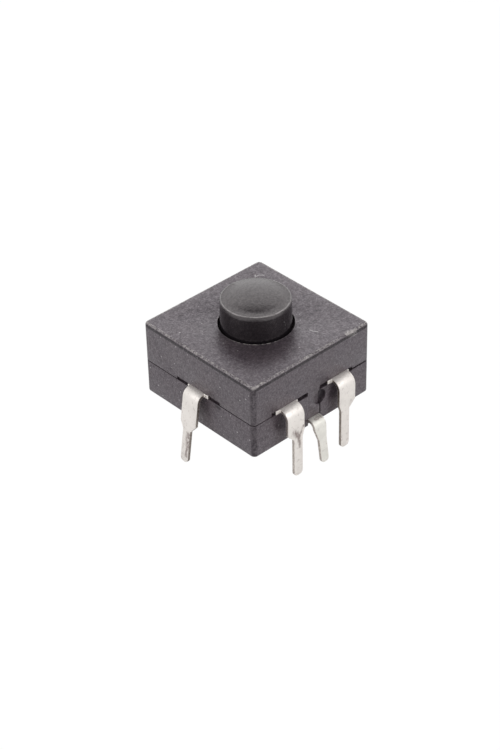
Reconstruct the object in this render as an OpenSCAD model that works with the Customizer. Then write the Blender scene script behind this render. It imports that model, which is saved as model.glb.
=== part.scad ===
// Push button flashlight switch, 12 mm square, five pins, one step of the selector at each press.
// Millimetres, +Z up. The origin is the centre of the underside of the base.
// The front, with three of the five terminals, faces -Y.

/* [Housing] */
// Width of the square housing
body_w = 12; // [11.9:0.05:12.2]
// Radius of the upright corners of the housing
corner_r = 0.38; // [0.35:0.01:0.6]
// Height of the base, up to the parting line
base_h = 2.93; // [2.9:0.01:3.0]
// Height of the cover, above the parting line
cover_h = 3.42; // [3.4:0.01:3.6]
// Thickness of the side walls of the base and the cover
wall_t = 0.9; // [0.85:0.05:0.95]
// Radius of the rounding around the cover's top
top_r = 0.22; // [0.15:0.01:0.28]
// Radius of the rounding around the base's underside
bottom_r = 0.15; // [0.1:0.01:0.2]
// Bevel on the cover's lower outer edge
edge_bevel = 0.03; // [0.02:0.01:0.05]
// Width of the fine slit that runs around the housing at the parting line
parting_gap = 0.05; // [0.03:0.01:0.06]
// Depth of that slit
parting_depth = 0.22; // [0.1:0.02:0.3]
// Thickness of the cover's top
plate_t = 1.1; // [1.05:0.01:1.15]

/* [Button] */
// Diameter of the button
button_d = 5.5; // [5.4:0.02:5.56]
// Height of the button's shoulder above the cover
button_rise = 2.21; // [2.0:0.01:2.3]
// Height of the domed top above the shoulder
dome_h = 0.35; // [0.3:0.01:0.45]
// Radius of the rounding around the button's top
button_edge_r = 0.1; // [0.08:0.01:0.15]
// Amount by which the button's top is smaller in radius than its foot
button_draft = 0.04; // [0.02:0.01:0.06]
// Thickness of the button's top over the spring
button_roof_t = 1.0; // [0.9:0.05:1.1]
// Diameter of the hole in the button for the spring
spring_hole_d = 3.3; // [3.25:0.01:3.35]
// How far the button travels
travel = 1.5; // [1.45:0.01:1.5]
// Diameter of the flange that keeps the button in the cover
flange_d = 7.0; // [6.9:0.05:7.1]
// Thickness of the flange
flange_t = 0.6; // [0.5:0.05:0.65]
// Width of the four keys that stop the button from turning
key_w = 1.0; // [0.9:0.05:1.1]
// Distance of the keys' ends from the axis
key_reach = 4.35; // [4.2:0.05:4.4]

/* [Selector] */
// Steps in one turn of the selector
steps = 8; // [8:1:8]
// Height of the ratchet teeth
tooth_h = 1.5; // [1.45:0.01:1.5]
// Angle over which a tooth rises
ramp_deg = 44.4; // [44.2:0.1:44.6]
// Height of the button's teeth above the rotor's at rest
tip_gap = 0.125; // [0.12:0.005:0.15]
// Angle by which the button's teeth start ahead of the rotor's valleys
tip_deg = 42; // [41.8:0.1:42.2]
// Angle taken up by one tooth of the button
button_tooth_deg = 30; // [26:1:32]
// Diameter of the rotor's disc
rotor_d = 7.6; // [7.4:0.1:7.8]
// Thickness of the rotor's disc
rotor_t = 0.72; // [0.7:0.01:0.74]
// Outer diameter of the ring of rotor teeth
crown_d = 4.56; // [4.5:0.02:4.58]
// Wall thickness of the ring of rotor teeth
crown_t = 0.58; // [0.52:0.02:0.6]
// Diameter of the rotor's hub
hub_d = 2.0; // [1.9:0.05:2.1]
// Diameter of the pivot
pivot_d = 1.0; // [0.9:0.05:1.1]
// Diameter of the pivot pin's head
head_d = 2.5; // [2.3:0.05:2.6]
// Diameter of the contact plate around the pivot
plate_hub_d = 3.4; // [3.2:0.1:3.6]
// Width of the contact plate's arms
arm_w = 1.3; // [1.2:0.05:1.4]

/* [Spring] */
// Thickness of the spring wire
wire_d = 0.32; // [0.26:0.02:0.34]
// Diameter of the coil through the middle of the wire
coil_d = 2.75; // [2.7:0.01:2.78]
// Number of turns
coil_turns = 7; // [5:1:8]

/* [Terminals] */
// Thickness of the terminals' sheet metal
metal_t = 0.3; // [0.28:0.01:0.32]
// Depth of the front pins' tips below the underside
pin_reach = 3.12; // [2.5:0.02:3.5]
// Depth of the side pins' tips below the underside
side_pin_reach = 2.95; // [2.5:0.05:3.5]
// Distance of the two front terminals from the middle
terminal_x = 2.67; // [2.65:0.01:2.7]
// Width of a terminal where it leaves the housing
tab_w = 2.22; // [2.2:0.01:2.3]
// Width of a front terminal's leg
front_leg_w = 1.66; // [1.5:0.02:1.7]
// Width of a side terminal's leg
side_leg_w = 1.64; // [1.5:0.02:1.8]
// Sideways offset of a front leg from the middle of its tab
leg_shift = 0.14; // [0.1:0.01:0.2]
// Sideways offset of a side leg from the middle of its tab
side_leg_shift = 0.1; // [0:0.01:0.2]
// Sideways offset of a front pin from the middle of its leg
pin_shift = 0.21; // [0:0.01:0.25]
// Sideways offset of a side pin from the middle of its leg
side_pin_shift = 0.1; // [0:0.01:0.2]
// Sideways offset of the common pin from the middle of its leg
common_pin_shift = 0.1; // [0:0.01:0.15]
// Width of a front pin
pin_w = 0.84; // [0.7:0.02:1.0]
// Width of a side pin
side_pin_w = 0.78; // [0.7:0.02:1.0]
// Width of a terminal inside the housing
inner_w = 1.5; // [1.3:0.05:1.5]
// Radius of the outside of a front terminal's big bend
front_bend_r = 0.85; // [0.8:0.01:0.9]
// Radius of the outside of a side terminal's big bend
side_bend_r = 0.72; // [0.7:0.01:0.9]
// Radius of the outside of the common terminal's big bend
common_bend_r = 0.72; // [0.7:0.01:0.8]
// Outward lean of the side legs, in degrees
side_lean = 8.5; // [5:0.5:10]
// Outward lean of the common terminal's leg, in degrees
common_lean = 8; // [5:0.5:9]
// Height of the front terminals' shoulders
front_shoulder_z = 1.0; // [0.8:0.05:1.1]
// Height of the side terminals' shoulders
side_shoulder_z = 0.35; // [0.2:0.05:0.8]
// Height over which a leg narrows to its pin
shoulder_h = 0.6; // [0.4:0.05:0.7]
// Width of the common terminal at its bend
common_w = 1.16; // [1.1:0.01:1.2]
// Width of the common terminal's pin
common_pin_w = 0.74; // [0.7:0.02:0.9]
// Distance of the contact pads from the axis
pad_reach = 3.0; // [2.95:0.01:3.05]
// Diameter of the silver contacts
contact_d = 0.9; // [0.8:0.05:1.0]

/* [Seams] */
// Distance of the outer ends of the front windows from the middle
front_window_end = 4.18; // [4.15:0.01:4.2]
// Width of the windows for the side terminals
side_window_w = 4.7; // [4.6:0.05:4.8]
// Depth of the windows' lower part, in the base
window_sink = 0.1; // [0.08:0.01:0.12]
// Width of the cover's tongues
tongue_w = 1.22; // [1.2:0.01:1.24]
// Sideways offset of the tongues and of the common terminal
tongue_x = 0.13; // [0:0.01:0.15]
// Gap at the tight side of a tongue
seam_tight = 0.01; // [0.01:0.005:0.02]
// Gap at the open side of a tongue
seam_open = 0.09; // [0.06:0.01:0.1]
// Radius of the dimples punched across the open seams
stake_r = 0.62; // [0.6:0.02:0.7]
// Height of the dimples' middle
stake_z = 2.18; // [2.1:0.02:2.3]
// Depth of those dimples in the base
stake_depth = 0.3; // [0.2:0.02:0.34]
// Gap under the cover's corner beyond the right-hand front window
corner_gap = 0.08; // [0.06:0.01:0.1]

/* [Fits] */
// Clearance between parts that lie on each other
lie_gap = 0.03; // [0.02:0.005:0.035]
// Clearance around parts that drop into a pocket
pocket_gap = 0.02; // [0.02:0.005:0.03]
// Radial clearance of the rotor on its pivot
pivot_gap = 0.04; // [0.03:0.005:0.06]
// Radial clearance of the button in its hole
hole_gap = 0.165; // [0.15:0.005:0.2]
// Clearance of the contact plate around the pivot
plate_gap = 0.1; // [0.08:0.01:0.12]
// Clearance beside each key
key_gap = 0.05; // [0.04:0.01:0.08]
// Clearance beyond each key's end
key_end_gap = 0.25; // [0.2:0.01:0.3]
// Radial clearance around the flange
flange_gap = 0.15; // [0.1:0.01:0.2]

/* [Hidden] */
$fn = 96;

// Overshoot of the cuts, so that they leave the solid cleanly
over = 1;
// Fine overlap of solids that join
bite = 0.1;

half_w = body_w / 2;
cavity = half_w - wall_t;
top_z = base_h + cover_h;
ceiling_z = top_z - plate_t;
post_w = 1.5;
post_in = cavity - post_w;
peg_r = 0.45;
peg_inset = 0.7;
peg_at = cavity - peg_inset;
peg_h = 1.45;
peg_gap = 0.03;
peg_end_gap = 0.1;
guide_in = 2.3;
hole_d = button_d + 2 * hole_gap;

// Heights of the metal strips, from the underside of the base
strip_z = 0.35;
foot_z = strip_z + metal_t;
floor_t = foot_z + metal_t;
window_z = base_h - window_sink;
tab_z = window_z + lie_gap;
window_top = tab_z + metal_t + lie_gap;
inner_bend_r = 0.12;
foot_bend_r = 0.12;
tip_bevel = 0.06;
// Distance of the big bends from the wall
bend_start = 0.05;
// Angle by which a bend runs on into its leg, so that the two join soundly
bend_lap = 4;
pad_r = inner_w / 2;
// Width of a foot where it meets its round pad, as a share of the pad's
neck = 0.96;
eye_r = head_d / 2 + 0.05;
common_taper_top = -0.15;
common_taper_end = -1.2;
// Depth of the recess in the base behind the common terminal's bend
common_recess = 0.25;
rivet_gap = 0.01;

// Stack on the pivot
head_h = 0.4;
head_z = foot_z;
blind_z = 0.2;
plate_z = head_z + head_h + lie_gap;
arm_t = 0.2;
disc_z = plate_z + arm_t;
disc_top = disc_z + rotor_t;
hub_top = 3.0;
hub_roof_t = 0.4;
pivot_top = hub_top - hub_roof_t;
valley_gap = 0.04;
valley_z = disc_top + valley_gap;
crest_z = valley_z + tooth_h;
ramp_rise = tooth_h / ramp_deg;
pitch_deg = 360 / steps;
crown_in = crown_d / 2 - crown_t;
tip_rest_z = crest_z + tip_gap;
crest_gap = 0.06;
root_z = crest_z + travel + crest_gap;
sleeve_gap = 0.07;
sleeve_r = crown_d / 2 + sleeve_gap;
flange_top = ceiling_z - lie_gap;
flange_z = flange_top - flange_t;
shoulder_z = top_z + button_rise;
spring_seat_z = shoulder_z - button_roof_t;
// Height of the fine rim around the dome
rim_step = 0.01;
// Depth by which the dome is flattened at its very top
dome_flat = 0.002;
dimple_r = 0.5;
dimple_drop = 0.1;
key_peg_r = 0.3;
key_peg_at = 1.95;
contact_proud = 0.01;

housing_color = [0.13, 0.125, 0.13];
button_color = [0.09, 0.09, 0.095];
metal_color = [0.82, 0.79, 0.76];
silver_color = [0.85, 0.84, 0.80];
brass_color = [0.72, 0.58, 0.32];
rotor_color = [0.85, 0.84, 0.78];

// A square block with rounded upright corners. Its edge has the section that the child draws,
// from x = 0 at the corner's axis to x = corner_r at the wall.
module rounded_block(width, height) {
    inner = width / 2 - corner_r;
    linear_extrude(height) square(2 * inner, center = true);
    for (turn = [0 : 3]) {
        rotate([0, 0, 90 * turn]) {
            translate([inner, inner, 0]) rotate_extrude(angle = 90) children();
            translate([inner, inner, 0]) rotate([90, 0, 0]) linear_extrude(2 * inner) children();
        }
    }
}

// Section of the base's edge, rounded below, with the slit of the parting line above
module base_edge() {
    r = corner_r;
    slit_z = base_h - parting_gap;
    slit_r = corner_r - parting_depth;
    square([r - bottom_r, bottom_r]);
    translate([r - bottom_r, bottom_r]) intersection() {
        circle(bottom_r);
        translate([0, -bottom_r]) square(bottom_r);
    }
    polygon([
        [0, bottom_r], [r, bottom_r], [r, slit_z], [slit_r, slit_z], [slit_r, base_h], [0, base_h]
    ]);
}

// Section of the cover's edge, bevelled below and rounded above
module cover_edge() {
    b = edge_bevel;
    r = corner_r;
    polygon([[0, 0], [r - b, 0], [r, b], [r, cover_h - top_r], [0, cover_h - top_r]]);
    translate([0, cover_h - top_r]) square([r - top_r, top_r]);
    translate([r - top_r, cover_h - top_r]) intersection() {
        circle(top_r);
        square(top_r);
    }
}

// A cut from well outside the front face, between two places along the face
module side_cut(x0, x1, depth, z0, z1) {
    translate([x0, -half_w - over, z0]) cube([x1 - x0, depth + over, z1 - z0]);
}

// The two windows for the front terminals, beside the tongue
module front_windows(depth, z0, z1) {
    side_cut(-front_window_end, tongue_x - tongue_w / 2, depth, z0, z1);
    side_cut(tongue_x + tongue_w / 2, front_window_end, depth, z0, z1);
}

// A window of that width in the middle of each side
module side_windows(width, depth, z0, z1) {
    for (turn = [-90, 90]) rotate([0, 0, turn]) side_cut(-width / 2, width / 2, depth, z0, z1);
}

module each_corner() {
    for (turn = [0 : 3]) rotate([0, 0, 90 * turn]) children();
}

module front_and_back() {
    for (turn = [0 : 1]) rotate([0, 0, 180 * turn]) children();
}

// Outline of a foot from above, in the terminal's own frame, with the pad's centre at (px, -py)
module foot_plan(pad_x, pad_y, start_y, grow) {
    run = [pad_x, pad_y - start_y];
    along = run / norm(run);
    side = [along[1], -along[0]] * (pad_r + grow) * neck;
    start_w = pad_r + grow;
    polygon([
        [-start_w, start_y], [start_w, start_y],
        [pad_x + side[0], pad_y + side[1]], [pad_x - side[0], pad_y - side[1]]
    ]);
    translate([pad_x, pad_y]) circle(pad_r + grow);
}

// Distance of a pad's centre sideways from its terminal's middle, and inwards from the wall
diagonal = pad_reach * sqrt(0.5);
front_pad = [terminal_x - diagonal, half_w - diagonal];
side_pad = [0, half_w - pad_reach];

// Puts a terminal, drawn for the middle of the front, in its place
module at_left() { translate([-half_w, 0, 0]) rotate([0, 0, -90]) children(); }
module at_right() { translate([half_w, 0, 0]) rotate([0, 0, 90]) children(); }
module at_front(side) { translate([side * terminal_x, -half_w, 0]) children(); }

// Pocket for a foot in the floor, with the way down for the leg inside the wall
module foot_pocket(pad_x, pad_y) {
    slot_w = inner_w + 2 * pocket_gap;
    slot_in = wall_t + metal_t + foot_bend_r;
    translate([0, 0, foot_z]) linear_extrude(base_h) {
        foot_plan(pad_x, pad_y, slot_in, pocket_gap);
        translate([-slot_w / 2, wall_t]) square([slot_w, slot_in - wall_t + bite]);
    }
}

// Relief in the top of the wall under the small bend of a tab
module tab_relief() {
    relief_w = inner_w + 4 * pocket_gap;
    relief_d = inner_bend_r + lie_gap;
    translate([-relief_w / 2, wall_t - relief_d, tab_z - inner_bend_r])
        cube([relief_w, relief_d + bite / 2, over]);
}

module base() {
    way_w = common_w + 2 * pocket_gap;
    color(housing_color) difference() {
        rounded_block(body_w, base_h) base_edge();
        difference() {
            translate([-cavity, -cavity, floor_t]) cube([2 * cavity, 2 * cavity, base_h]);
            each_corner() translate([post_in, post_in, 0])
                cube([post_w + over, post_w + over, body_w]);
        }
        each_corner() translate([peg_at, peg_at, base_h - peg_h - peg_end_gap])
            cylinder(h = peg_h + over, r = peg_r + peg_gap);
        // Slots for the cover's tongues, with one tight side and one open side
        front_and_back()
            side_cut(
                tongue_x - tongue_w / 2 - seam_tight, tongue_x + tongue_w / 2 + seam_open,
                wall_t + pocket_gap, foot_z, base_h + over
            );
        // Way for the common terminal, from the front wall to the pivot
        translate([tongue_x - way_w / 2, -half_w - over, strip_z])
            cube([way_w, half_w + over, base_h]);
        translate([tongue_x - way_w / 2, -half_w - over, -over])
            cube([way_w, over + common_recess, base_h]);
        translate([0, 0, strip_z]) cylinder(h = base_h, r = eye_r + pocket_gap);
        translate([0, 0, blind_z]) cylinder(h = base_h, r = pivot_d / 2 + rivet_gap);
        front_windows(wall_t + bite, window_z, base_h + over);
        side_windows(tab_w + 2 * lie_gap, wall_t + bite, window_z, base_h + over);
        at_front(-1) {
            foot_pocket(front_pad[0], front_pad[1]);
            tab_relief();
        }
        at_front(1) {
            foot_pocket(-front_pad[0], front_pad[1]);
            tab_relief();
        }
        at_left() {
            foot_pocket(side_pad[0], side_pad[1]);
            tab_relief();
        }
        at_right() {
            foot_pocket(side_pad[0], side_pad[1]);
            tab_relief();
        }
        front_and_back() stake(stake_depth);
    }
}

// Round dimple punched over the open seam of a tongue
module stake(depth) {
    translate([tongue_x + tongue_w / 2, -half_w + depth, stake_z]) rotate([90, 0, 0])
        cylinder(h = over, r = stake_r);
}

// The room inside the cover, from above: round for the flange, with a groove for each key
module cover_room() {
    difference() {
        square(2 * cavity, center = true);
        each_corner() translate([guide_in, guide_in]) square(cavity);
    }
    circle(flange_d / 2 + flange_gap);
    each_corner() rotate(45) translate([0, -key_w / 2 - key_gap])
        square([key_reach + key_end_gap, key_w + 2 * key_gap]);
}

module cover() {
    window_d = wall_t + metal_t + bite;
    color(housing_color) difference() {
        union() {
            difference() {
                translate([0, 0, base_h]) rounded_block(body_w, cover_h) cover_edge();
                translate([0, 0, base_h - over])
                    linear_extrude(ceiling_z - base_h + over) cover_room();
                translate([0, 0, base_h]) cylinder(h = cover_h + over, r = hole_d / 2);
            }
            each_corner() translate([peg_at, peg_at, base_h - peg_h])
                cylinder(h = peg_h + bite, r = peg_r);
            front_and_back()
                translate([tongue_x - tongue_w / 2, -half_w, foot_z + lie_gap])
                    cube([tongue_w, wall_t, base_h - foot_z + bite]);
        }
        front_windows(window_d, base_h - over / 2, window_top);
        side_windows(side_window_w, window_d, base_h - over / 2, window_top);
        // Low corner beyond the right-hand front window
        side_cut(front_window_end - bite, body_w, wall_t, base_h - over, base_h + corner_gap);
        front_and_back() stake(stake_depth / 2);
    }
}

// Section of the button through its axis
module button_section() {
    r = button_d / 2;
    top_r = r - button_draft;
    edge_z = shoulder_z - button_edge_r;
    flat_r = top_r - button_edge_r;
    dome_r = (flat_r * flat_r + dome_h * dome_h) / (2 * dome_h);
    difference() {
        union() {
            polygon([
                [0, flange_z], [r, flange_z], [r, flange_top], [top_r, edge_z], [0, edge_z]
            ]);
            translate([flat_r, edge_z]) circle(button_edge_r);
            intersection() {
                translate([0, shoulder_z + dome_h - rim_step - dome_r]) circle(dome_r);
                translate([0, shoulder_z - over])
                    square([flat_r, over + dome_h - rim_step - dome_flat]);
            }
        }
        translate([-over, flange_z - over]) square([over + sleeve_r, root_z - flange_z + over]);
        translate([-over, flange_z - over])
            square([over + spring_hole_d / 2, spring_seat_z - flange_z + over]);
    }
}

// A closed ring sector between two radii. The lower and upper heights are lists, one value
// for each angle.
module sector(r_in, r_out, angles, low, high) {
    n = len(angles);
    points = [
        for (i = [0 : n - 1])
            let (c = cos(angles[i]), s = sin(angles[i]))
                each [
                    [r_in * c, r_in * s, low[i]], [r_out * c, r_out * s, low[i]],
                    [r_out * c, r_out * s, high[i]], [r_in * c, r_in * s, high[i]]
                ]
    ];
    sides = [
        for (i = [0 : n - 2], k = [0 : 3])
            let (a = 4 * i + k, b = 4 * i + (k + 1) % 4)
                each [[a, b, b + 4], [a, b + 4, a + 4]]
    ];
    polyhedron(points, concat([[3, 2, 1, 0]], sides, [[4 * n - 4, 4 * n - 3, 4 * n - 2, 4 * n - 1]]));
}

// The ratchet teeth that hang from the button. Each underside rises like the rotor's ramp.
module button_teeth() {
    parts = 4;
    for (i = [0 : steps - 1]) {
        angles = [for (j = [0 : parts]) tip_deg + pitch_deg * i + button_tooth_deg * j / parts];
        low = [for (j = [0 : parts]) tip_rest_z + ramp_rise * button_tooth_deg * j / parts];
        high = [for (j = [0 : parts]) root_z + 2 * bite];
        sector(crown_in, sleeve_r + bite, angles, low, high);
    }
}

// The flange and its four keys, from above
module flange_plan() {
    difference() {
        union() {
            circle(flange_d / 2);
            each_corner() rotate(45) translate([0, -key_w / 2]) square([key_reach, key_w]);
        }
        circle(button_d / 2);
    }
}

module button() {
    color(button_color) {
        rotate_extrude() button_section();
        translate([0, 0, flange_z]) linear_extrude(flange_t) flange_plan();
        button_teeth();
    }
}

// The rotor's ring of teeth, as one closed band with a short drop after each ramp
module crown() {
    parts = 4;
    columns = steps * (parts + 1);
    angles = [for (i = [0 : steps - 1], j = [0 : parts]) pitch_deg * i + ramp_deg * j / parts];
    heights = [for (i = [0 : steps - 1], j = [0 : parts]) valley_z + tooth_h * j / parts];
    low_z = disc_top - bite;
    points = [
        for (i = [0 : columns - 1])
            let (c = cos(angles[i]), s = sin(angles[i]), r = crown_d / 2)
                each [
                    [crown_in * c, crown_in * s, low_z], [r * c, r * s, low_z],
                    [r * c, r * s, heights[i]], [crown_in * c, crown_in * s, heights[i]]
                ]
    ];
    faces = [
        for (i = [0 : columns - 1], k = [0 : 3])
            let (
                m = (i + 1) % columns,
                a = 4 * i + k, b = 4 * i + (k + 1) % 4,
                c = 4 * m + (k + 1) % 4, d = 4 * m + k
            )
                each [[a, b, c], [a, c, d]]
    ];
    polyhedron(points, faces);
}

module rotor() {
    color(rotor_color) {
        difference() {
            union() {
                translate([0, 0, disc_z]) cylinder(h = rotor_t, d = rotor_d);
                translate([0, 0, disc_z]) cylinder(h = hub_top - disc_z, d = hub_d);
            }
            translate([0, 0, disc_z - over])
                cylinder(h = pivot_top + bite - disc_z + over, r = pivot_d / 2 + pivot_gap);
        }
        crown();
        for (side = [-1, 1]) translate([0, side * key_peg_at, plate_z + pocket_gap])
            cylinder(h = arm_t + bite, r = key_peg_r);
    }
}

// Sprung plate under the rotor, with a dimple at each end that wipes over the pads
module contact_plate() {
    color(brass_color) difference() {
        union() {
            translate([0, 0, plate_z]) linear_extrude(arm_t) {
                circle(plate_hub_d / 2);
                square([arm_w, 2 * pad_reach], center = true);
                for (side = [-1, 1]) translate([0, side * pad_reach]) circle(arm_w / 2);
            }
            for (side = [-1, 1]) intersection() {
                translate([0, side * pad_reach, plate_z - dimple_drop + dimple_r])
                    rotate([90, 0, 0]) sphere(dimple_r);
                translate([0, side * pad_reach, plate_z - dimple_r])
                    cylinder(h = dimple_r + arm_t / 2, r = dimple_r);
            }
        }
        translate([0, 0, plate_z - over]) cylinder(h = 2 * over, r = pivot_d / 2 + plate_gap);
        for (side = [-1, 1]) translate([0, side * key_peg_at, plate_z - over])
            cylinder(h = 2 * over, r = key_peg_r + pocket_gap);
    }
}

// Height of the wire's middle after a share of the coil, with one closed turn at each end
function coil_z(turn, turns, low, high) =
    let (
        closed = wire_d * 1.06,
        open = (high - low - 2 * closed) / (turns - 2)
    )
        turn < 1 ? low + closed * turn
        : turn < turns - 1 ? low + closed + open * (turn - 1)
        : high - closed * (turns - turn);

module return_spring() {
    around = 20;
    sides = 6;
    low = disc_top + lie_gap + wire_d / 2;
    high = spring_seat_z - lie_gap - wire_d / 2;
    count = coil_turns * around;
    points = [
        for (i = [0 : count])
            let (turn = i / around, z = coil_z(turn, coil_turns, low, high), a = 360 * turn)
                for (k = [0 : sides - 1])
                    let (
                        b = 360 * (k + 0.5) / sides,
                        r = coil_d / 2 + wire_d / 2 * cos(b)
                    )
                        [r * cos(a), r * sin(a), z + wire_d / 2 * sin(b)]
    ];
    sleeve = [
        for (i = [0 : count - 1], k = [0 : sides - 1])
            let (a = sides * i + k, b = sides * i + (k + 1) % sides)
                each [[a, b + sides, b], [a, a + sides, b + sides]]
    ];
    first = [for (k = [0 : sides - 1]) k];
    last = [for (k = [sides - 1 : -1 : 0]) sides * count + k];
    color(metal_color) polyhedron(points, concat([first], sleeve, [last]));
}

// Pin with a wide head. Its head presses the eye of the common terminal on the floor.
module pivot_pin() {
    color(brass_color) {
        translate([0, 0, blind_z + pocket_gap])
            cylinder(h = pivot_top - blind_z - pocket_gap, d = pivot_d);
        translate([0, 0, head_z]) cylinder(h = head_h, d = head_d);
    }
}

// Stands a section, drawn with x outwards and y up, across the front wall
module across(width) {
    rotate([90, 0, -90]) linear_extrude(width, center = true) children();
}

// Quarter or less of a bent strip, around the origin, between two angles
module bend(r_out, from, to) {
    far = 2 * r_out;
    mid = (from + to) / 2;
    intersection() {
        difference() {
            circle(r_out);
            circle(r_out - metal_t);
        }
        polygon([
            [0, 0], [far * cos(from), far * sin(from)],
            [far * cos(mid), far * sin(mid)], [far * cos(to), far * sin(to)]
        ]);
    }
}

// Flat outline of a leg that hangs from the origin: wide, then shoulders, then the round pin
module leg_outline(wide, narrow, shift, shoulder_top, shoulder_end, length) {
    w = wide / 2;
    p = narrow / 2;
    round_y = p - length;
    polygon([
        [-w, 0], [-w, -shoulder_top], [shift - p, -shoulder_end], [shift - p, round_y],
        [shift + p, round_y], [shift + p, -shoulder_end], [w, -shoulder_top], [w, 0]
    ]);
    translate([shift, round_y]) circle(p);
}

// Bevels the two faces of a pin at its tip
module tip_shape(width, length) {
    bevel_top = -length + 2 * tip_bevel;
    across(2 * width) polygon([
        [-over, 0], [over, 0], [over, bevel_top + over], [metal_t, bevel_top],
        [metal_t - tip_bevel, -length], [tip_bevel, -length],
        [0, bevel_top], [-over, bevel_top + over]
    ]);
}

// Everything outside the bend: turned by the lean about the bend's centre at (out, z)
module leaning_leg(out, z, r_out, angle, wide, narrow, shift, top_z, end_z, reach) {
    r_in = r_out - metal_t;
    length = (z + (r_in + metal_t / 2) * sin(angle) + reach) / cos(angle);
    translate([0, -out, z]) {
        across(wide) bend(r_out, angle - bend_lap, 90);
        rotate([-angle, 0, 0]) translate([0, -r_in, 0]) intersection() {
            rotate([90, 0, 0]) linear_extrude(metal_t)
                leg_outline(wide, narrow, shift, z - top_z, z - end_z, length);
            tip_shape(wide, length);
        }
    }
}

// Tab over the wall, from above: wide with its ear just outside, and narrower inwards
module tab_plan() {
    translate([-tab_w / 2, -bend_start]) square([tab_w, bend_start + wall_t / 2]);
    translate([-inner_w / 2, wall_t / 2]) square([inner_w, wall_t / 2 - inner_bend_r]);
}

// Terminal that hooks over the wall, drawn for the middle of the front, with its wall at y = 0.
// The child is its leg outside the wall. The pad's centre is at (pad_x, pad_y).
module hook_terminal(pad_x, pad_y) {
    foot_y = wall_t + metal_t + foot_bend_r;
    leg_top = tab_z - inner_bend_r;
    leg_low = foot_z + metal_t + foot_bend_r;
    color(metal_color) difference() {
        union() {
            children();
            translate([0, 0, tab_z]) linear_extrude(metal_t) tab_plan();
            // Bend and leg inside the wall
            translate([0, wall_t - inner_bend_r, leg_top])
                across(inner_w) bend(inner_bend_r + metal_t, 90, 180);
            translate([-pad_r, wall_t, leg_low])
                cube([inner_w, metal_t, leg_top - leg_low]);
            // Foot in the floor
            translate([0, foot_y, leg_low])
                across(inner_w) bend(foot_bend_r + metal_t, 270, 360);
            translate([0, 0, foot_z]) linear_extrude(metal_t)
                foot_plan(pad_x, pad_y, foot_y, 0);
        }
        translate([pad_x, pad_y, foot_z - over])
            cylinder(h = 3 * over, r = contact_d / 2 + rivet_gap);
    }
}

// The right-hand side terminal is the mirror image of the left-hand one. Their pins are
// nearer to the back.
module side_terminal(back) {
    hook_terminal(side_pad[0], side_pad[1])
        translate([back * side_leg_shift, 0, 0])
            leaning_leg(
                bend_start, tab_z + metal_t - side_bend_r, side_bend_r, side_lean,
                side_leg_w, side_pin_w, back * side_pin_shift,
                side_shoulder_z, side_shoulder_z - shoulder_h, side_pin_reach
            );
}

// The two front terminals have their legs set off the same way and their pins nearer to the
// middle
module front_terminal(side) {
    hook_terminal(-side * front_pad[0], front_pad[1])
        translate([leg_shift, 0, 0])
            leaning_leg(
                bend_start, tab_z + metal_t - front_bend_r, front_bend_r, 0,
                front_leg_w, pin_w, -side * pin_shift,
                front_shoulder_z, front_shoulder_z - shoulder_h, pin_reach
            );
}

module terminal_left() { at_left() side_terminal(-1); }
module terminal_right() { at_right() side_terminal(1); }
module terminal_front_left() { at_front(-1) front_terminal(-1); }
module terminal_front_right() { at_front(1) front_terminal(1); }

// Common terminal: a strip in the floor from the pivot, out through the front and down
module terminal_common() {
    bend_z = foot_z - common_bend_r;
    color(metal_color) difference() {
        union() {
            translate([tongue_x, -half_w, 0]) {
                leaning_leg(
                    bend_start, bend_z, common_bend_r, common_lean, common_w, common_pin_w,
                    common_pin_shift, common_taper_top, common_taper_end, pin_reach
                );
                translate([-common_w / 2, -bend_start, strip_z])
                    cube([common_w, half_w + bend_start - pivot_d, metal_t]);
            }
            translate([0, 0, strip_z]) cylinder(h = metal_t, r = eye_r);
        }
        translate([0, 0, -over]) cylinder(h = 3 * over, r = pivot_d / 2 + rivet_gap);
    }
}

// Silver contact riveted in a pad
module contact(pad_x, pad_y) {
    color(silver_color) translate([pad_x, pad_y, foot_z])
        cylinder(h = metal_t + contact_proud, d = contact_d);
}

module contact_left() { at_left() contact(side_pad[0], side_pad[1]); }
module contact_right() { at_right() contact(side_pad[0], side_pad[1]); }
module contact_front_left() { at_front(-1) contact(front_pad[0], front_pad[1]); }
module contact_front_right() { at_front(1) contact(-front_pad[0], front_pad[1]); }

base();
cover();
button();
rotor();
contact_plate();
return_spring();
pivot_pin();
terminal_left();
terminal_right();
terminal_front_left();
terminal_front_right();
terminal_common();
contact_left();
contact_right();
contact_front_left();
contact_front_right();
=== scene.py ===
"""Looks of a push button flashlight switch: moulded plastic, tinned terminals, soft white studio."""

import math

import bmesh
import bpy
from mathutils import Matrix, Vector


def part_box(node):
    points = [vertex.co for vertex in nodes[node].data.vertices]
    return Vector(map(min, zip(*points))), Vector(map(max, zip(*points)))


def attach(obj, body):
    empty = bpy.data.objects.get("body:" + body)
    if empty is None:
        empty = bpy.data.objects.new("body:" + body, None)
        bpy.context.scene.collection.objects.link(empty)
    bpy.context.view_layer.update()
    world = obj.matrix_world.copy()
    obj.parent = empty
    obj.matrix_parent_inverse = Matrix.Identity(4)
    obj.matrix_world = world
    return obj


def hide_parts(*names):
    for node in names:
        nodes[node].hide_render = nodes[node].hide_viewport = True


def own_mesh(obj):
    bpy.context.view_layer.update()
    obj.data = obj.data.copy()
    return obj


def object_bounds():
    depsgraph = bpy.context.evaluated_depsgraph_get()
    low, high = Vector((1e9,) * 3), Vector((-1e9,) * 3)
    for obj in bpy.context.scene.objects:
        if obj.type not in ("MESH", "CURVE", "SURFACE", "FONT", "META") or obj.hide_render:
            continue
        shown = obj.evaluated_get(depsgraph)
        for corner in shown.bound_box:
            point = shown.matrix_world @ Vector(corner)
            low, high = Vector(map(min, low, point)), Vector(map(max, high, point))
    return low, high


MM = 0.001

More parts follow.
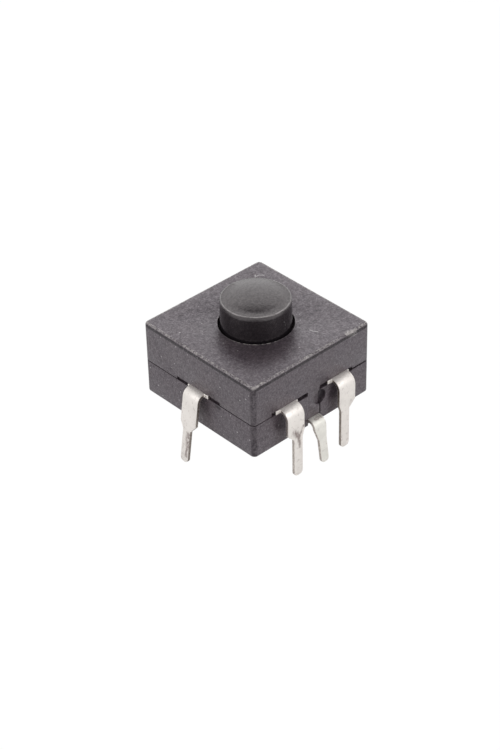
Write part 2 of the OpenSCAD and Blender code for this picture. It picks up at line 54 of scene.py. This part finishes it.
# Camera, found from the housing's corners in the photograph
CAMERA_AZIMUTH = math.radians(-42.397)
CAMERA_ELEVATION = math.radians(36.451)
CAMERA_ROLL = math.radians(-1.358)
CAMERA_DISTANCE = 148.7 * MM
CAMERA_AIM = Vector((0, 0, 3.2 * MM))
CAMERA_ASIDE = 0.524 * MM
CAMERA_RAISED = 1.45 * MM
FOCAL_PIXELS = 1961.4
FRAME_HEIGHT_PIXELS = 750
SENSOR = 36.0

# The open seam beside the cover's tongue, and the round stake mark across it
SEAM_X = 0.74 * MM
STAKE_Z = 2.18 * MM
STAKE_R = 0.62 * MM

# Radius of the rounding around the cover's top, and of the button's hole
TOP_ROUND = 0.22 * MM
HOLE_R = 2.915 * MM

# The button: its dome above the shoulder, and the drawn-in crest under that
DOME_RISE = 0.338 * MM
CREST = 0.4 * MM
CREST_INSET = 0.035 * MM

# The return spring's wire
WIRE_R = 0.16 * MM
SPRING_TURNS = 7

# Roundings of the sharp edges of the shells and of the terminals' sheet
SHELL_BEVEL = 0.02 * MM
SHEET_BEVEL = 0.04 * MM

# The surround dims between these heights in reflections, each the sine of an elevation
DIM_FROM = 0.7
DIM_TO = 0.97


# Studio


def make_camera():
    """The camera at the photograph's angle."""
    sin_a, cos_a = math.sin(CAMERA_AZIMUTH), math.cos(CAMERA_AZIMUTH)
    sin_e, cos_e = math.sin(CAMERA_ELEVATION), math.cos(CAMERA_ELEVATION)
    back = Vector((sin_a * cos_e, -cos_a * cos_e, sin_e))
    level = Vector((cos_a, sin_a, 0))
    upright = back.cross(level)
    sin_r, cos_r = math.sin(CAMERA_ROLL), math.cos(CAMERA_ROLL)
    right = cos_r * level + sin_r * upright
    up = cos_r * upright - sin_r * level
    data = bpy.data.cameras.new("camera")
    data.sensor_width = SENSOR
    data.lens = FOCAL_PIXELS / FRAME_HEIGHT_PIXELS * SENSOR
    data.clip_start = 5 * MM
    data.clip_end = 10
    camera = bpy.data.objects.new("camera", data)
    bpy.context.collection.objects.link(camera)
    place = CAMERA_AIM + CAMERA_DISTANCE * back - CAMERA_ASIDE * right - CAMERA_RAISED * up
    turn = Matrix((right, up, back)).transposed().to_4x4()
    camera.matrix_world = Matrix.Translation(place) @ turn
    bpy.context.scene.camera = camera


def ray_share(tree, to_camera, in_reflections):
    """A share for rays from the camera, another for rays in reflections or through glass."""
    path = tree.nodes.new("ShaderNodeLightPath")
    sheen = tree.nodes.new("ShaderNodeMath")
    sheen.operation = "MAXIMUM"
    tree.links.new(path.outputs["Is Glossy Ray"], sheen.inputs[0])
    tree.links.new(path.outputs["Is Transmission Ray"], sheen.inputs[1])
    part = tree.nodes.new("ShaderNodeMath")
    part.operation = "MULTIPLY"
    part.inputs[1].default_value = in_reflections
    tree.links.new(sheen.outputs[0], part.inputs[0])
    total = tree.nodes.new("ShaderNodeMath")
    total.operation = "MULTIPLY_ADD"
    total.inputs[1].default_value = to_camera
    tree.links.new(path.outputs["Is Camera Ray"], total.inputs[0])
    tree.links.new(part.outputs[0], total.inputs[2])
    return total.outputs[0]


def make_world(level, overhead):
    """A white surround that lights the object at a plain level, and is dimmer overhead in
    reflections."""
    world = bpy.data.worlds.new("studio")
    bpy.context.scene.world = world
    world.use_nodes = True
    tree = world.node_tree
    tree.nodes.clear()
    soft = tree.nodes.new("ShaderNodeBackground")
    soft.inputs["Color"].default_value = (1, 1, 1, 1)
    soft.inputs["Strength"].default_value = level
    white = tree.nodes.new("ShaderNodeBackground")
    white.inputs["Color"].default_value = (1, 1, 1, 1)
    place = tree.nodes.new("ShaderNodeTexCoord")
    height = tree.nodes.new("ShaderNodeSeparateXYZ")
    tree.links.new(place.outputs["Generated"], height.inputs[0])
    dim = tree.nodes.new("ShaderNodeMapRange")
    dim.interpolation_type = "SMOOTHSTEP"
    dim.inputs["From Min"].default_value = DIM_FROM
    dim.inputs["From Max"].default_value = DIM_TO
    dim.inputs["To Min"].default_value = 1
    dim.inputs["To Max"].default_value = overhead
    tree.links.new(height.outputs["Z"], dim.inputs["Value"])
    tree.links.new(dim.outputs[0], white.inputs["Strength"])
    mix = tree.nodes.new("ShaderNodeMixShader")
    out = tree.nodes.new("ShaderNodeOutputWorld")
    tree.links.new(ray_share(tree, 1, 1), mix.inputs["Fac"])
    tree.links.new(soft.outputs[0], mix.inputs[1])
    tree.links.new(white.outputs[0], mix.inputs[2])
    tree.links.new(mix.outputs[0], out.inputs["Surface"])


def make_floor(height, radius, shadow, mirrored_shadow):
    """A round white floor. It shows a faint share of the object's shadow, and a larger share
    of it in reflections."""
    mesh = bpy.data.meshes.new("floor")
    bm = bmesh.new()
    bmesh.ops.create_circle(bm, cap_ends=True, segments=96, radius=radius)
    bm.to_mesh(mesh)
    bm.free()
    floor = bpy.data.objects.new("floor", mesh)
    bpy.context.collection.objects.link(floor)
    floor.location.z = height
    material = bpy.data.materials.new("floor_white")
    material.use_nodes = True
    tree = material.node_tree
    tree.nodes.clear()
    paint = tree.nodes.new("ShaderNodeBsdfDiffuse")
    paint.inputs["Color"].default_value = (0.85, 0.85, 0.85, 1)
    glow = tree.nodes.new("ShaderNodeEmission")
    glow.inputs["Color"].default_value = (1, 1, 1, 1)
    glow.inputs["Strength"].default_value = 1.02
    mix = tree.nodes.new("ShaderNodeMixShader")
    out = tree.nodes.new("ShaderNodeOutputMaterial")
    tree.links.new(ray_share(tree, 1 - shadow, 1 - mirrored_shadow), mix.inputs["Fac"])
    tree.links.new(paint.outputs[0], mix.inputs[1])
    tree.links.new(glow.outputs[0], mix.inputs[2])
    tree.links.new(mix.outputs[0], out.inputs["Surface"])
    mesh.materials.append(material)


def make_softbox(name, azimuth, elevation, distance, width, height, radiance):
    """A rectangular lamp that faces the object, with its brightness as radiance."""
    data = bpy.data.lights.new(name, "AREA")
    data.shape = "RECTANGLE"
    data.size = width
    data.size_y = height
    data.energy = radiance * math.pi * width * height
    lamp = bpy.data.objects.new(name, data)
    bpy.context.collection.objects.link(lamp)
    a, e = math.radians(azimuth), math.radians(elevation)
    way = Vector((math.sin(a) * math.cos(e), -math.cos(a) * math.cos(e), math.sin(e)))
    lamp.location = CAMERA_AIM + distance * way
    lamp.rotation_euler = way.to_track_quat("Z", "Y").to_euler()


# Shader helpers


class Shader:
    """A node material, with short calls for the few nodes that the finishes use."""

    def __init__(self, name):
        self.material = bpy.data.materials.new(name)
        self.material.use_nodes = True
        self.tree = self.material.node_tree
        self.nodes = self.tree.nodes
        self.surface = self.nodes["Principled BSDF"]
        self.place = self.nodes.new("ShaderNodeTexCoord").outputs["Object"]

    def join(self, a, b):
        self.tree.links.new(a, b)

    def feed(self, value, socket):
        """Sets a socket to a number or colour, or links it."""
        if isinstance(value, bpy.types.NodeSocket):
            self.join(value, socket)
        else:
            socket.default_value = value

    def math(self, operation, a, b=0.0, c=0.0, clamp=False):
        node = self.nodes.new("ShaderNodeMath")
        node.operation = operation
        node.use_clamp = clamp
        for value, socket in zip((a, b, c), node.inputs, strict=False):
            self.feed(value, socket)
        return node.outputs[0]

    def noise(self, size, detail=3.0, rough=0.5, stretch=(1, 1, 1), at=(0, 0, 0)):
        """Noise whose grains are about that size in metres."""
        mapping = self.nodes.new("ShaderNodeMapping")
        mapping.inputs["Location"].default_value = at
        mapping.inputs["Scale"].default_value = [s / size for s in stretch]
        self.join(self.place, mapping.inputs["Vector"])
        node = self.nodes.new("ShaderNodeTexNoise")
        node.inputs["Scale"].default_value = 1
        node.inputs["Detail"].default_value = detail
        node.inputs["Roughness"].default_value = rough
        self.join(mapping.outputs[0], node.inputs["Vector"])
        return node.outputs["Fac"]

    def specks(self, apart, radius, share, at=(0, 0, 0)):
        """Round specks of up to that radius in a share of the cells of that width."""
        mapping = self.nodes.new("ShaderNodeMapping")
        mapping.inputs["Location"].default_value = at
        mapping.inputs["Scale"].default_value = [1 / apart] * 3
        self.join(self.place, mapping.inputs["Vector"])
        node = self.nodes.new("ShaderNodeTexVoronoi")
        node.inputs["Scale"].default_value = 1
        self.join(mapping.outputs[0], node.inputs["Vector"])
        chance = self.nodes.new("ShaderNodeSeparateColor")
        self.join(node.outputs["Color"], chance.inputs[0])
        reach = self.math("MULTIPLY_ADD", chance.outputs[0], radius / apart / share,
                          radius / apart * (1 - 1 / share))
        inside = self.math("SUBTRACT", reach, node.outputs["Distance"])
        return self.range(inside, 0, 0.3 * radius / apart)

    def stroke(self, a, b, width):
        """A soft line of that width between two places, all in millimetres."""
        start, end = Vector(a) * MM, Vector(b) * MM
        along = end - start
        away = self.vector("SUBTRACT", self.place, start)
        share = self.math("DIVIDE", self.vector("DOT_PRODUCT", away, along), along.length_squared,
                          clamp=True)
        nearest = self.vector("MULTIPLY", share, along)
        distance = self.vector("DISTANCE", away, nearest)
        return self.range(distance, 0.8 * width * MM, 0.1 * width * MM)

    def strokes(self, width, *places):
        """A soft line of that width through some places."""
        return self.largest(*(self.stroke(a, b, width) for a, b in zip(places, places[1:])))

    def vector(self, operation, a, b):
        node = self.nodes.new("ShaderNodeVectorMath")
        node.operation = operation
        self.feed(a, node.inputs[0])
        self.feed(b, node.inputs[1])
        scalar = operation in ("DOT_PRODUCT", "DISTANCE")
        return node.outputs["Value" if scalar else "Vector"]

    def largest(self, *masks):
        """The largest of some values."""
        total = masks[0]
        for mask in masks[1:]:
            total = self.math("MAXIMUM", total, mask)
        return total

    def product(self, *masks):
        """The product of some values."""
        total = masks[0]
        for mask in masks[1:]:
            total = self.math("MULTIPLY", total, mask)
        return total

    def hypot(self, a, b):
        """The distance that two coordinates make together."""
        squares = self.math("ADD", self.math("MULTIPLY", a, a), self.math("MULTIPLY", b, b))
        return self.math("SQRT", squares)

    def band(self, value, low, high, soft):
        """1 between two values, falling to 0 over a soft width outside them."""
        return self.product(self.range(value, low - soft, low), self.range(value, high + soft, high))

    def range(self, value, low, high, to_low=0.0, to_high=1.0):
        """Maps a value from one range to another, with soft ends."""
        node = self.nodes.new("ShaderNodeMapRange")
        node.interpolation_type = "SMOOTHSTEP"
        node.inputs["From Min"].default_value = low
        node.inputs["From Max"].default_value = high
        node.inputs["To Min"].default_value = to_low
        node.inputs["To Max"].default_value = to_high
        self.join(value, node.inputs["Value"])
        return node.outputs["Result"]

    def mix(self, share, a, b):
        """A colour between two others."""
        node = self.nodes.new("ShaderNodeMix")
        node.data_type = "RGBA"
        self.feed(share, node.inputs["Factor"])
        self.feed(a, node.inputs[6])
        self.feed(b, node.inputs[7])
        return node.outputs[2]

    def axes(self):
        """The three coordinates, in metres."""
        node = self.nodes.new("ShaderNodeSeparateXYZ")
        self.join(self.place, node.inputs[0])
        return node.outputs

    def bump(self, height, depth, under=None):
        """A bump of that depth in metres for a height from 0 to 1."""
        node = self.nodes.new("ShaderNodeBump")
        node.inputs["Strength"].default_value = 1
        node.inputs["Distance"].default_value = depth
        self.join(height, node.inputs["Height"])
        if under is not None:
            self.join(under, node.inputs["Normal"])
        return node.outputs["Normal"]

    def finish(self, color, roughness, normal=None, **others):
        """Feeds the surface. The named values go on its other sockets."""
        self.feed(color, self.surface.inputs["Base Color"])
        self.feed(roughness, self.surface.inputs["Roughness"])
        if normal is not None:
            self.join(normal, self.surface.inputs["Normal"])
        for name, value in others.items():
            self.feed(value, self.surface.inputs[name.replace("_", " ")])
        return self.material


def worn_and_highlit_edges(s, half, top):
    """A broken pale line along the rounding around the cover's top, fainter on the left: partly worn
    spots, partly a painted highlight where the rounding catches the light.
    """
    x, y, z = s.axes()
    out = s.math("MAXIMUM", s.math("ABSOLUTE", x), s.math("ABSOLUTE", y))
    return s.product(
        s.band(out, half - 0.9 * TOP_ROUND, half - 0.35 * TOP_ROUND, 0.25 * TOP_ROUND),
        s.range(z, top - 1.1 * TOP_ROUND, top - 0.7 * TOP_ROUND),
        s.range(s.noise(0.16 * MM, detail=4, rough=0.7), 0.45, 0.58, 0.08, 1),
        s.range(x, -half + TOP_ROUND, -half + 2 * TOP_ROUND, 0.8, 1),
        s.range(s.noise(1.3 * MM), 0.36, 0.56, 0.45, 1),
    )


def under_edge_shade(s, half, top):
    """Painted shade from dark reflections: the darker strip just under the top's rounding, and the
    one down each upright corner.
    """
    x, y, z = s.axes()
    wide, deep = s.math("ABSOLUTE", x), s.math("ABSOLUTE", y)
    out = s.math("MAXIMUM", wide, deep)
    strip = s.product(
        s.band(z, top - 1.4 * TOP_ROUND, top - 0.75 * TOP_ROUND, 0.4 * TOP_ROUND),
        s.range(out, half - 0.3 * TOP_ROUND, half - 0.1 * TOP_ROUND),
    )
    corner = s.range(s.math("ADD", wide, deep), 2 * half - 0.44 * MM, 2 * half - 0.24 * MM)
    return s.largest(strip, s.product(corner, 0.5))


def hole_lip_highlight(s, top):
    """A painted highlight: a thin broken pale line along the front of the button's hole, where its
    edge catches the light.
    """
    x, y, z = s.axes()
    return s.product(
        s.band(s.hypot(x, y), HOLE_R - 0.02 * MM, HOLE_R + 0.07 * MM, 0.03 * MM),
        s.range(z, top - 0.05 * MM, top - 0.03 * MM),
        s.range(s.math("ADD", x, y), -3.3 * MM, -3.8 * MM, 0.15, 1),
        s.range(s.noise(0.16 * MM, detail=3), 0.4, 0.5),
    )


def stake_shade(s, half):
    """Painted shade on the floor of the front stake mark on the base's side of the seam, and a dark
    line along the seam beside it."""
    x, y, z = s.axes()
    across = s.math("SUBTRACT", x, SEAM_X)
    up = s.math("SUBTRACT", z, STAKE_Z)
    front = s.range(y, -half + 0.42 * MM, -half + 0.38 * MM)
    floor = s.product(
        s.range(s.hypot(across, up), STAKE_R + 0.02 * MM, STAKE_R - 0.06 * MM),
        front,
        s.range(across, 0, 0.03 * MM, 0.05, 1),
    )
    seam = s.product(
        s.band(across, -0.05 * MM, 0, 0.02 * MM),
        s.band(up, -2 * MM, 0.7 * MM, 0.05 * MM),
        front,
    )
    return s.largest(floor, seam)


def housing_material(cover):
    """Dark moulded plastic: fine grain, dust and hairs, pale worn spots with a painted highlight
    along the top edges, a painted highlight on the hole's lip, and painted shade under the top's
    rounding, down the corners, in the stake mark and under the left window.
    """
    half, top = cover[1][0], cover[1][2]
    level = top / MM
    s = Shader("housing_plastic")
    grain = s.noise(0.15 * MM, detail=3, rough=0.7)
    coarse = s.noise(0.4 * MM, detail=3)
    cloud = s.noise(1.8 * MM, detail=3)
    color = s.mix(s.range(cloud, 0.35, 0.65), (0.042, 0.031, 0.040, 1), (0.052, 0.039, 0.047, 1))
    color = s.mix(s.range(grain, 0.5, 0.72, 0, 0.6), color, (0.13, 0.115, 0.12, 1))
    color = s.mix(s.range(coarse, 0.5, 0.3, 0, 0.5), color, (0.022, 0.017, 0.021, 1))
    marks = s.largest(
        s.specks(0.9 * MM, 0.12 * MM, 0.4),
        s.specks(0.5 * MM, 0.075 * MM, 0.22, at=(3, 5, 7)),
        s.strokes(0.09, (4.1, 4.45, level), (4.45, 4.45, level), (4.75, 4.15, level)),
        s.strokes(0.11, (2.1, -3.6, level), (2.15, -3.85, level), (2.35, -4.15, level)),
        s.strokes(0.14, (4.2, 4.5, level), (4.25, 4.6, level)),
        s.strokes(0.14, (-1.6, 2.4, level), (-1.65, 2.3, level)),
    )
    color = s.mix(s.product(marks, 0.8), color, (0.5, 0.48, 0.48, 1))
    knocks = s.largest(
        s.strokes(0.45, (3.9, -5.85, level - 0.05), (4.4, -5.95, level - 0.2)),
        s.strokes(0.24, (-5.85, -5.85, level - 0.05), (-5.65, -5.9, level - 0.05)),
    )
    knocks = s.product(knocks, s.range(grain, 0.35, 0.5))
    # Pale worn spots and knocks, and painted highlights along the top's rounding and the hole's lip.
    wear_and_highlights = s.largest(worn_and_highlit_edges(s, half, top), hole_lip_highlight(s, top), knocks)
    color = s.mix(s.product(wear_and_highlights, 0.9), color, (0.5, 0.47, 0.45, 1))
    # A painted shadow under the right end of the left window.
    notch_shadow = s.strokes(0.24, (-6.0, -1.95, 2.72), (-6.0, -2.4, 2.66))
    # Painted shade: under the top's rounding, down the corners, on the stake's floor and under the
    # left window, with the dark seam line. It also lowers the sheen there.
    dark = s.largest(under_edge_shade(s, half, top), stake_shade(s, half), notch_shadow)
    color = s.mix(s.product(dark, 0.7), color, (0.01, 0.009, 0.01, 1))
    normal = s.bump(grain, 0.02 * MM)
    normal = s.bump(s.largest(marks, wear_and_highlights), 0.01 * MM, normal)
    rough = s.range(cloud, 0.3, 0.7, 0.31, 0.37)
    shine = s.product(
        s.range(grain, 0.3, 0.7, 0.27, 0.73),
        s.range(coarse, 0.3, 0.7, 0.8, 1.15),
        s.math("MULTIPLY_ADD", dark, -0.6, 1),
    )
    return s.finish(
        color, rough, normal, IOR=1.87, Specular_IOR_Level=shine, Specular_Tint=(1, 0.92, 0.985, 1)
    )


def button_material(rest_top):
    """Smooth black plastic with a painted highlight along the dome's edge, a paler painted band
    under that edge, and a few scratches.
    """
    s = Shader("button_plastic")
    grain = s.noise(0.16 * MM, detail=3)
    ripple = s.noise(0.4 * MM, detail=2)
    x, y, z = s.axes()
    out = s.hypot(x, y)
    shoulder = rest_top - DOME_RISE
    # A painted highlight along the dome's edge, strongest at the front.
    rim_highlight = s.product(
        s.band(out, 2.59 * MM, 2.64 * MM, 0.025 * MM),
        s.range(z, shoulder - 0.08 * MM, shoulder - 0.05 * MM),
        s.range(s.math("ADD", x, y), 0.5 * MM, -3.4 * MM, 0.35, 1),
        s.range(s.noise(0.3 * MM), 0.35, 0.6, 0.5, 1),
    )
    scratch = s.strokes(0.08, (0.3, -2.69, 7.52), (0.45, -2.67, 7.4), (0.4, -2.68, 6.85))
    broken = s.range(s.noise(0.14 * MM, detail=3), 0.42, 0.58, 0.05, 0.8)
    scratches = s.largest(s.product(scratch, broken), s.specks(0.9 * MM, 0.08 * MM, 0.2))
    color = s.mix(s.range(grain, 0.4, 0.7), (0.011, 0.009, 0.011, 1), (0.02, 0.017, 0.019, 1))
    # A paler painted band under the dome's edge, where its rounding faces up into the light.
    collar_sheen = s.product(
        s.band(z, shoulder - 0.3 * MM, shoulder - 0.1 * MM, 0.06 * MM),
        s.range(out, 2.6 * MM, 2.64 * MM),
    )
    color = s.mix(s.product(collar_sheen, 0.6), color, (0.055, 0.05, 0.053, 1))
    color = s.mix(s.product(scratches, 0.45), color, (0.3, 0.29, 0.29, 1))
    color = s.mix(s.product(rim_highlight, 0.8), color, (0.5, 0.47, 0.47, 1))
    normal = s.bump(ripple, 0.012 * MM)
    normal = s.bump(grain, 0.004 * MM, normal)
    rough = s.range(s.noise(0.8 * MM), 0.3, 0.7, 0.17, 0.23)
    shine = s.range(grain, 0.3, 0.7, 0.4, 0.6)
    return s.finish(
        color, rough, normal, IOR=1.75, Specular_IOR_Level=shine, Specular_Tint=(1, 0.92, 0.93, 1)
    )


def tinned_material(name, seed, tint, stains=()):
    """Tinned sheet metal with stains and fine scratches. A stain is a width and its places."""
    s = Shader(name)
    cloud = s.noise(1.1 * MM, detail=4, at=(seed, 0, 0))
    fine = s.noise(0.12 * MM, detail=4, rough=0.6, stretch=(1, 1, 0.4), at=(seed, 0, 0))
    blots = s.noise(0.3 * MM, detail=4, rough=0.6, at=(seed, 2, 0))
    color = s.mix(s.range(cloud, 0.4, 0.7), (*tint, 1), (*(0.91 * c for c in tint), 1))
    color = s.mix(s.range(fine, 0.55, 0.8, 0, 0.4), color, (0.62, 0.57, 0.54, 1))
    color = s.mix(s.range(blots, 0.55, 0.7, 0, 0.45), color, (0.52, 0.46, 0.43, 1))
    for width, places in stains:
        mark = s.product(s.strokes(width, *places), s.range(fine, 0.35, 0.6, 0.25, 0.9))
        color = s.mix(mark, color, (0.27, 0.21, 0.195, 1))
    normal = s.bump(fine, 0.004 * MM)
    normal = s.bump(blots, 0.01 * MM, normal)
    rough = s.range(cloud, 0.3, 0.7, 0.38, 0.5)
    return s.finish(color, rough, normal, Metallic=0.6)


def cut_edge_material(name, dark, pale):
    """The darker sheared edge of the terminals' sheet, with streaks across the cut."""
    s = Shader(name)
    streak = s.noise(0.09 * MM, detail=4, stretch=(1, 1, 0.5))
    color = s.mix(s.range(streak, 0.4, 0.7), (*dark, 1), (*pale, 1))
    normal = s.bump(streak, 0.006 * MM)
    return s.finish(color, 0.45, normal, Metallic=1.0)


def plain_metal(name, color, roughness):
    """Metal with a fine drawn grain, for the inner pieces."""
    s = Shader(name)
    fine = s.noise(0.06 * MM, detail=3, stretch=(1, 1, 0.3))
    tint = s.mix(s.range(fine, 0.4, 0.7, 0, 0.4), color, [0.75 * c for c in color[:3]] + [1])
    return s.finish(tint, roughness, s.bump(fine, 0.003 * MM), Metallic=1.0)


def rotor_material():
    """Natural white moulded plastic."""
    s = Shader("rotor_plastic")
    cloud = s.noise(0.6 * MM)
    color = s.mix(s.range(cloud, 0.3, 0.7), (0.72, 0.7, 0.62, 1), (0.66, 0.64, 0.56, 1))
    return s.finish(color, 0.4, s.bump(s.noise(0.1 * MM), 0.002 * MM))


# Pieces


def paint(obj, material):
    """Gives a CAD node that material alone."""
    obj.data.materials.clear()
    obj.data.materials.append(material)


def shade(obj, limit):
    """Smooth shading, with edges sharper than the limit kept crisp."""
    mesh = obj.data
    bm = bmesh.new()
    bm.from_mesh(mesh)
    for face in bm.faces:
        face.smooth = True
    for edge in bm.edges:
        edge.smooth = len(edge.link_faces) == 2 and edge.calc_face_angle(0) < limit
    bm.to_mesh(mesh)
    bm.free()


def merged_copy(name):
    """A node's mesh with its doubled points merged."""
    bm = bmesh.new()
    bm.from_mesh(nodes[name].data)
    bmesh.ops.remove_doubles(bm, verts=bm.verts, dist=0.0005 * MM)
    return bm


def stand_in(name, bm, materials, body):
    """A piece with that mesh, which stands for a CAD node."""
    mesh = bpy.data.meshes.new(name + "_dressed")
    bm.to_mesh(mesh)
    bm.free()
    piece = bpy.data.objects.new(name + "_dressed", mesh)
    bpy.context.collection.objects.link(piece)
    for material in materials:
        mesh.materials.append(material)
    shade(piece, math.radians(35))
    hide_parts(name)
    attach(piece, body)
    return piece


def dress(name, bevel, segments, materials, body, axis=None):
    """A copy of a CAD node with its sharp edges rounded, which stands for the node. The faces
    that look along the axis get the second material."""
    bm = merged_copy(name)
    bmesh.ops.dissolve_limit(
        bm, angle_limit=math.radians(0.5), verts=bm.verts, edges=bm.edges, delimit=set()
    )
    if axis is not None:
        for face in bm.faces:
            face.material_index = int(abs(face.normal[axis]) > 0.25)
    limit = math.radians(28)
    sharp = [e for e in bm.edges if len(e.link_faces) == 2 and e.calc_face_angle(0) > limit]
    bmesh.ops.bevel(
        bm, geom=sharp, offset=bevel, offset_type="OFFSET", segments=segments, profile=0.5,
        affect="EDGES", clamp_overlap=True,
    )
    return stand_in(name, bm, materials, body)


def dressed_button(name, shoulder, material):
    """The button with its side drawn in towards the crest."""
    bm = merged_copy(name)
    rings = 7
    for step in range(1, rings + 1):
        level = shoulder - CREST * step / rings
        geom = bm.verts[:] + bm.edges[:] + bm.faces[:]
        bmesh.ops.bisect_plane(bm, geom=geom, plane_co=(0, 0, level), plane_no=(0, 0, 1))
    side_from = 2.4 * MM
    for v in bm.verts:
        out = math.hypot(v.co.x, v.co.y)
        rise = min(max((v.co.z - shoulder + CREST) / CREST, 0), 1)
        if out > side_from and rise > 0:
            share = (out - CREST_INSET * rise ** 2) / out
            v.co.x *= share
            v.co.y *= share
    return stand_in(name, bm, [material], "plunger")


def make_spring(coil, material):
    """The return spring in round wire, in that box, on the selector's body."""
    coil_r = (coil[1][0] - coil[0][0]) / 2 - WIRE_R
    low, high = coil[0][2], coil[1][2]
    steps = 40 * SPRING_TURNS
    sides = 10
    rise = high - low - 2 * WIRE_R
    bm = bmesh.new()
    rings = []
    for i in range(steps + 1):
        share = i / steps
        turn = 2 * math.pi * SPRING_TURNS * share
        z = low + WIRE_R + rise * share
        out = Vector((math.cos(turn), math.sin(turn), 0))
        ring = []
        for k in range(sides):
            a = 2 * math.pi * k / sides
            p = (coil_r + WIRE_R * math.cos(a)) * out
            ring.append(bm.verts.new((p.x, p.y, z + WIRE_R * math.sin(a))))
        rings.append(ring)
    for a, b in zip(rings, rings[1:]):
        for k in range(sides):
            bm.faces.new((a[k], a[k - 1], b[k - 1], b[k]))
    bm.faces.new(rings[0])
    bm.faces.new(rings[-1][::-1])
    bmesh.ops.recalc_face_normals(bm, faces=bm.faces)
    spring = stand_in("return_spring", bm, [material], "selector")
    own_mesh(spring)


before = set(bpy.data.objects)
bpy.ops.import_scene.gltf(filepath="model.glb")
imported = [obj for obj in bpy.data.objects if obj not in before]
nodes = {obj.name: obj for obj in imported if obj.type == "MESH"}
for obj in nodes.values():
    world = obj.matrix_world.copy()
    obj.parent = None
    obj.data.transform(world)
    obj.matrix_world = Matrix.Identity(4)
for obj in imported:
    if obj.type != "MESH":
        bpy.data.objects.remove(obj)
cad_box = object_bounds()
cover_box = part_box("cover")
button_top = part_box("button")[1][2]
bpy.context.scene.view_settings.view_transform = "Standard"

make_camera()
make_world(0.55, 0.15)
make_floor(cad_box[0][2] - 0.005 * MM, 0.6, 0.02, 0.4)
make_softbox("softbox_back", 137.6, 30, 0.16, 0.34, 0.14, 0.5)
make_softbox("softbox_left", -110, 30, 0.18, 0.12, 0.12, 0.9)
make_softbox("softbox_right", 20, 40, 0.18, 0.12, 0.12, 1.2)

housing = housing_material(cover_box)
dress("cover", SHELL_BEVEL, 2, [housing], "housing")
dress("base", SHELL_BEVEL, 2, [housing], "housing")
dressed_button("button", button_top - DOME_RISE, button_material(button_top))
sheared = cut_edge_material("sheared_edge", (0.22, 0.185, 0.165), (0.42, 0.38, 0.34))
# A paler copy of the cut edge, painted light, for the cut faces that show bright reflections.
sheared_lit = cut_edge_material("sheared_edge_lit", (0.4, 0.35, 0.32), (0.72, 0.67, 0.63))
TIN = (0.94, 0.89, 0.845)
PALE_TIN = (0.97, 0.92, 0.875)
GREY_TIN = (0.93, 0.91, 0.85)
TERMINALS = {
    "terminal_left": (1, PALE_TIN, sheared, [
        (0.46, ((-7.2, -0.02, -0.4), (-7.36, -0.06, -1.45))),
        (0.3, ((-7.4, -0.02, -1.7), (-7.48, 0.0, -2.3))),
    ]),
    "terminal_right": (1, TIN, sheared, []),
    "terminal_front_left": (0, PALE_TIN, sheared_lit, [
        (0.5, ((-2.75, -6.9, 1.2), (-2.45, -6.9, 0.75))),
        (0.22, ((-1.85, -6.9, 1.35), (-2.1, -6.9, 0.8), (-2.3, -6.9, 0.4))),
        (0.3, ((-2.35, -6.9, 0.6), (-2.2, -6.9, -0.4))),
    ]),
    "terminal_front_right": (0, TIN, sheared, []),
    "terminal_common": (0, GREY_TIN, sheared_lit, [
        (0.3, ((0.0, -6.35, 0.65), (0.5, -6.35, 0.65))),
    ]),
}
for seed, (name, (axis, tint, cut, stains)) in enumerate(TERMINALS.items()):
    tin = tinned_material(name + "_tin", 3.7 * seed, tint, stains)
    dress(name, SHEET_BEVEL, 3, [tin, cut], "housing", axis)
brass = plain_metal("contact_brass", (0.72, 0.55, 0.3, 1), 0.3)
silver = plain_metal("contact_silver", (0.86, 0.85, 0.82, 1), 0.2)
wire = plain_metal("spring_wire", (0.6, 0.6, 0.62, 1), 0.3)
for name in ("contact_left", "contact_right", "contact_front_left", "contact_front_right"):
    paint(nodes[name], silver)
for name in ("contact_plate", "pivot_pin"):
    paint(nodes[name], brass)
make_spring(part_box("return_spring"), wire)
paint(nodes["rotor"], rotor_material())
